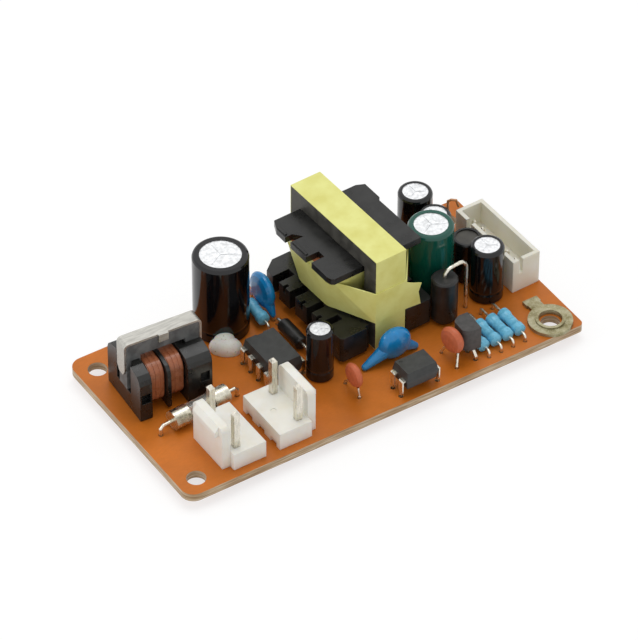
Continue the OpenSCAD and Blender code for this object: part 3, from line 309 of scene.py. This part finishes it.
# %% Board laminate
lacquer = (0.575, 0.158, 0.0125)
laminate = Finish("laminate", lacquer, rough=0.36, Specular_IOR_Level=0.35)
drift = laminate.noise(size=9.0, detail=4.0)
grain = laminate.noise(size=0.9, detail=5.0, stretch=(1, 2.4, 1))
low_orange, mid_orange, high_orange = shades(lacquer, 0.80, 1.0, 1.14)
tea = laminate.ramp(drift, [(0.32, low_orange), (0.52, mid_orange), (0.70, high_orange)])
grain_amount = laminate.value(grain, 0.0, 0.30, band=(0.35, 0.75))
top_colour = laminate.mix(grain_amount, tea, low_orange)

dark_ply, brown_ply, pale_ply = (0.30, 0.17, 0.075), (0.50, 0.35, 0.20), (0.66, 0.52, 0.36)
layers = laminate.noise(size=0.28, detail=2.0, stretch=(0.06, 0.06, 1.0))
edge_colour = laminate.ramp(layers, [(0.30, dark_ply), (0.50, brown_ply), (0.68, pale_ply)])

laminate.colour(laminate.mix(laminate.lies_flat(), edge_colour, top_colour))
laminate.gloss(drift, 0.30, 0.44)
laminate.bump(grain, depth=0.012)
dress(laminate, "board")
print("laminate on the board")

# %% [markdown]
# ## Nylon housings
#
# The wire headers are moulded in natural nylon, which is milky and lets light in a little way.
# A plain white paint would look like chalk, so subsurface scattering gives the soft glow. The
# output header is the same material with more cream in it.

# %% Nylon
light_in_nylon = (1.0, 0.85, 0.6)  # how far red, green and blue light go, against each other


def nylon(name, colour, warm):
    """Milky plastic that drifts between a colour and a warmer one."""
    made = Finish(name, colour, rough=0.38, Subsurface_Weight=0.25, Subsurface_Scale=0.0012,
                  Specular_IOR_Level=0.4)
    made.set("Subsurface Radius", light_in_nylon)
    made.soft_edges(0.12)
    made.two_tone(made.noise(size=3.5), warm, colour)
    made.gloss(made.noise(size=0.8), 0.32, 0.46)
    made.bump(made.noise(size=0.35, detail=4.0), depth=0.01, strength=0.4)
    return made


white_nylon = nylon("white_nylon", colour=(0.90, 0.89, 0.83), warm=(0.86, 0.83, 0.74))
cream_nylon = nylon("cream_nylon", colour=(0.84, 0.82, 0.73), warm=(0.80, 0.77, 0.65))
dress(white_nylon, "header_1", "header_2")
dress(cream_nylon, "output_header")
print("nylon on three headers")

# %% [markdown]
# ## Tinned leads, solder and caps
#
# Leads are tinned copper or steel. Tin is bright but never a mirror: drawing marks and fingers
# leave it streaky. A polished metal with a stain map could show that, but noise stretched along
# the lead does it with no map, in colour, gloss and bump at once. The same helper makes the
# solder, the choke's strap, the fuse's caps and the cans, each with its own tone and dullness.

# %% Metals


def metal(name, colour, rough, streak=(1, 1, 1), size=0.4, depth=0.006):
    """A dulled metal with marks of about size mm, drawn out by streak."""
    made = Finish(name, colour, rough=rough, metal=1.0)
    marks = made.noise(size, detail=4.0, stretch=streak)
    made.two_tone(marks, *shades(colour, 0.80, 1.06))
    made.gloss(marks, rough - 0.09, rough + 0.12)
    made.bump(marks, depth)
    return made


tin = metal("tinned_lead", (0.78, 0.74, 0.64), rough=0.28, streak=(1, 1, 0.2))
solder = metal("solder", (0.74, 0.75, 0.77), rough=0.30, size=0.6)
nickel = metal("nickel_strap", (0.52, 0.51, 0.47), rough=0.42, streak=(0.15, 1, 1), size=0.35)
fuse_metal = metal("fuse_cap_nickel", (0.72, 0.69, 0.58), rough=0.24, size=0.7)
can_metal = metal("can_aluminium", (0.80, 0.81, 0.82), rough=0.46, size=0.5, depth=0.008)
dress(tin, "header_1_pins", "header_2_pins", "fuse_leads", "choke_pins", "chip_leads",
      "transformer_pins", "opto_leads", "diode_leads", "regulator_leads", "disc_leads",
      "axial_leads", "can_leads", "output_pins")
dress(solder, "solder_joints")
dress(nickel, "choke_clip")
dress(fuse_metal, "fuse_caps")
dress(can_metal, "bulk_can", "small_cans")
print("metals dressed, nodes so far:", len(dressed))

# %% [markdown]
# ## Earth lug
#
# The lug is punched from plated steel that has dulled to olive. One even olive would look like
# paint. Dull plating is cloudy, with darker stains and a few bright rubs, so two noises of
# different sizes steer its colour.

# %% Lug plating
dark_olive, mid_olive, pale_olive = (0.20, 0.17, 0.07), (0.34, 0.31, 0.18), (0.47, 0.44, 0.31)
rubbed_bright = (0.60, 0.57, 0.44)
lug_metal = Finish("lug_plating", (0.30, 0.27, 0.14), rough=0.48, metal=0.75)
stain = lug_metal.noise(size=1.6, detail=6.0)
fleck = lug_metal.noise(size=0.25)
clouds = lug_metal.ramp(stain, [(0.32, dark_olive), (0.52, mid_olive), (0.70, pale_olive)])
rub_amount = lug_metal.value(fleck, 0.0, 0.45, band=(0.45, 0.75))
lug_metal.colour(lug_metal.mix(rub_amount, clouds, rubbed_bright))
lug_metal.gloss(stain, 0.34, 0.62)
lug_metal.bump(fleck, depth=0.012, strength=0.6)
dress(lug_metal, "earth_lug")
print("plating on the lug")

# %% [markdown]
# ## Moulded black parts
#
# Bobbins are glossy phenolic, chips are matt epoxy with a sandy skin, ferrite is a grey ceramic
# and the cans' bungs are dull rubber. In life they differ more in gloss than in colour, so one
# shared black would hide where one ends and the next begins. Each gets its own roughness, skin
# and depth of bump from one helper.

# %% Blacks


def moulded(name, colour, rough, skin, depth, edge=0.08):
    """A moulded surface with a skin of fine grains, in mm, and softened edges."""
    made = Finish(name, colour, rough=rough, Specular_IOR_Level=0.45)
    made.soft_edges(edge)
    broad = made.noise(skin * 9, detail=2.0)
    made.two_tone(broad, *shades(colour, 0.7, 1.35))
    made.gloss(broad, rough - 0.07, rough + 0.10)
    made.bump(made.noise(skin, detail=5.0), depth, strength=0.6)
    return made


bobbin_black = moulded("bobbin_phenolic", (0.012, 0.012, 0.011), rough=0.30, skin=0.30,
                       depth=0.010, edge=0.15)
chip_black = moulded("chip_epoxy", (0.030, 0.031, 0.030), rough=0.52, skin=0.16, depth=0.012)
diode_black = moulded("diode_epoxy", (0.016, 0.015, 0.014), rough=0.34, skin=0.22,
                      depth=0.010, edge=0.15)
regulator_black = moulded("regulator_epoxy", (0.050, 0.047, 0.045), rough=0.50, skin=0.14,
                          depth=0.012)
ferrite = moulded("ferrite", (0.060, 0.057, 0.048), rough=0.55, skin=0.20, depth=0.02,
                  edge=0.12)
choke_ferrite = moulded("choke_ferrite", (0.115, 0.118, 0.118), rough=0.55, skin=0.20,
                        depth=0.02, edge=0.15)
rubber = moulded("rubber_bung", (0.02, 0.02, 0.02), rough=0.7, skin=0.3, depth=0.02)
dress(bobbin_black, "choke_bobbin", "transformer_bobbin")
dress(chip_black, "chip_body", "opto_body")
dress(diode_black, "output_diode", "clamp_diode")
dress(regulator_black, "regulator_body")
dress(ferrite, "core_upper", "core_lower", "drum_core")
dress(choke_ferrite, "choke_core_left", "choke_core_right")
dress(rubber, "bulk_seal", "small_can_seals")
print("black parts dressed")

# %% [markdown]
# ## Shrunk sleeves
#
# A capacitor's sleeve is a plastic film shrunk on its can. It is glossy and slightly wavy,
# because it never shrinks evenly. The waves could be modelled, but they are far finer than the
# can is wide, so a broad shallow bump bends the reflections in the same way.

# %% Sleeve film


def sleeve(name, colour, rough=0.10):
    """Glossy film with slow waves in its surface."""
    made = Finish(name, colour, rough=rough, Specular_IOR_Level=0.5)
    wave = made.noise(size=2.2, detail=2.0)
    made.gloss(wave, rough * 0.7, rough * 1.8)
    made.bump(wave, depth=0.05, strength=0.35)
    return made


black_film = sleeve("black_film", (0.004, 0.004, 0.005))
green_film = sleeve("green_film", (0.004, 0.085, 0.060))
drum_film = sleeve("drum_film", (0.006, 0.006, 0.006), rough=0.22)
dress(black_film, "bulk_sleeve", "supply_sleeve", "front_sleeve", "middle_sleeve", "rear_sleeve")
dress(green_film, "green_sleeve")
dress(drum_film, "drum_sleeve")
print("films on seven sleeves")

# %% [markdown]
# ## Tape
#
# The transformer's coil and core are wrapped in thin yellow polyester tape. It lets a little of
# what is below show through, so its yellow isn't quite even, and it wrinkles where it turns a
# corner. A see-through film over the core would be slow to render, so two near yellows and a
# shallow bump give the same look.

# %% Tape
deep_yellow, light_yellow = (0.74, 0.71, 0.20), (0.85, 0.85, 0.31)
tape = Finish("yellow_tape", (0.80, 0.79, 0.26), rough=0.42, Specular_IOR_Level=0.4)
cover = tape.noise(size=4.0)
tape.two_tone(cover, deep_yellow, light_yellow, band=wide_band)
tape.gloss(cover, 0.32, 0.5)
tape.bump(tape.noise(size=1.6, detail=4.0), depth=0.03)
dress(tape, "core_tape", "belt_tape", "winding_tape")
print("tape on the core and the coil")

# %% [markdown]
# ## Glue
#
# A blob of hot glue holds the tall capacitor against knocks. It is milky like the nylon, but
# softer and deeper, and it has picked up a few brown specks. The specks are the darkest end of
# a fine noise, cut off sharply by two stops that lie close together on the ramp.

# %% Glue
brown_speck, glue_cream, glue_pale = (0.35, 0.30, 0.16), (0.88, 0.86, 0.77), (0.93, 0.92, 0.86)
glue_white = Finish("hot_glue", (0.90, 0.88, 0.80), rough=0.45, Subsurface_Weight=0.4,
                    Subsurface_Scale=0.0015)
glue_white.bump(glue_white.noise(size=0.9), depth=0.08)
specks = glue_white.noise(size=0.35, detail=2.0)
glue_white.colour(glue_white.ramp(
    specks, [(0.27, brown_speck), (0.33, glue_cream), (0.7, glue_pale)]))
dress(glue_white, "glue")
print("glue dressed")

# %% [markdown]
# ## Dipped coats
#
# Disc capacitors and resistors get their coats by dipping, and so does enamelled wire. A dipped
# coat flows before it sets, so its surface is smooth with slow swells and its colour is a
# little deeper where it ran thick. One noise steers colour, gloss and bump together, because
# all three come from the same flow.

# %% Dipped coats


def dipped(name, colour, rough, size=1.2):
    """A coat that ran before it set, with swells about size mm across."""
    made = Finish(name, colour, rough=rough, Specular_IOR_Level=0.5)
    flow = made.noise(size)
    made.two_tone(flow, *shades(colour, 0.86, 1.08), band=wide_band)
    made.gloss(flow, rough - 0.05, rough + 0.08)
    made.bump(flow, depth=0.03)
    return made


blue_epoxy = dipped("blue_epoxy", (0.012, 0.26, 0.62), rough=0.14)
orange_coat = dipped("orange_coat", (0.56, 0.13, 0.05), rough=0.50, size=0.8)
blue_lacquer = dipped("blue_lacquer", (0.16, 0.52, 0.74), rough=0.26, size=0.8)
enamel = dipped("wire_enamel", (0.55, 0.25, 0.10), rough=0.30)
copper = dipped("copper_enamel", (0.40, 0.13, 0.055), rough=0.28)
dress(blue_epoxy, "safety_capacitor", "clamp_disc")
dress(orange_coat, "small_disc", "feedback_disc")
dress(blue_lacquer, "resistors", "start_resistor")
dress(enamel, "wire_hook")
dress(copper, "choke_winding_1", "choke_winding_2", "transformer_winding")
print("coats on discs, resistors and wire")

# %% [markdown]
# ## Fuse glass
#
# The fuse is a thin glass tube. A glass shader would do, but the Principled one has a
# transmission weight that turns the same material into glass, so it is kept like the others.
# A little of its own pale colour stays, as on glass that has been handled.

# %% Fuse glass
glass = Finish("fuse_glass", (0.93, 0.93, 0.88), rough=0.05, Transmission_Weight=0.9)
dress(glass, "fuse_tube")
print("dressed", len(dressed), "of", len(nodes), "nodes")

# %% End
print("finishes set")
